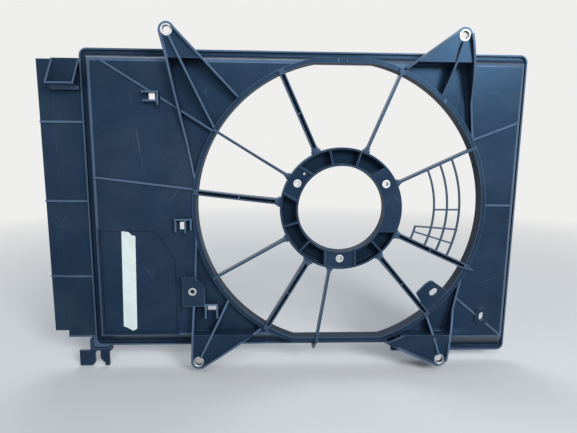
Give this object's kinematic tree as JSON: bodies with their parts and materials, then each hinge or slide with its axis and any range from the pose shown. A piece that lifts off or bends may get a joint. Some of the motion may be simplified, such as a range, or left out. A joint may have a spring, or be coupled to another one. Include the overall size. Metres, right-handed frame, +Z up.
{
  "type": "radiator cooling fan shroud",
  "caption": "Flat black moulded fan cowl with a large round opening, a central motor ring on struts, bolting ears with steel sleeves, guard hoops, clips and a side baffle.",
  "frame": {"origin": "centre of the motor opening, on the front face of the motor ring", "axes": "+X to the right and +Z up as the cowl stands in the car, +Y from the engine side towards the radiator"},
  "size_m": [0.5975, 0.0485, 0.4217],
  "materials": {
    "cowl_plastic": "fine satin grain, blue-black",
    "sleeve_steel": "zinc plated, bright",
    "insert_steel": "plain turned steel",
    "tape": "pale paper tape, bare"
  },
  "bodies": {
    "root": {"cowl_panel_left": "cowl_plastic", "cowl_panel_right": "cowl_plastic", "cowl_bar_top": "cowl_plastic", "cowl_bar_bottom": "cowl_plastic", "opening_ring": "cowl_plastic", "motor_ring": "cowl_plastic", "strut_01": "cowl_plastic", "strut_02": "cowl_plastic", "strut_03": "cowl_plastic", "strut_04": "cowl_plastic", "strut_05": "cowl_plastic", "strut_06": "cowl_plastic", "strut_07": "cowl_plastic", "strut_08": "cowl_plastic", "strut_09": "cowl_plastic", "strut_10": "cowl_plastic", "ear_top_left": "cowl_plastic", "ear_top_right": "cowl_plastic", "ear_bottom_left": "cowl_plastic", "ear_bottom_right": "cowl_plastic", "finger_guard": "cowl_plastic", "slotted_tab": "cowl_plastic", "side_baffle": "cowl_plastic", "holding_pocket": "cowl_plastic", "lower_hook": "cowl_plastic", "harness_clip_upper": "cowl_plastic", "harness_clip_middle": "cowl_plastic", "harness_clip_lower": "cowl_plastic", "relay_bracket": "cowl_plastic", "sleeve_top_left": "sleeve_steel", "sleeve_top_right": "sleeve_steel", "sleeve_bottom_left": "sleeve_steel", "sleeve_bottom_right": "sleeve_steel", "motor_insert_left": "insert_steel", "motor_insert_right": "insert_steel", "motor_insert_bottom": "insert_steel", "relay_insert": "insert_steel", "paper_tape": "tape"}
  },
  "joints": []
}
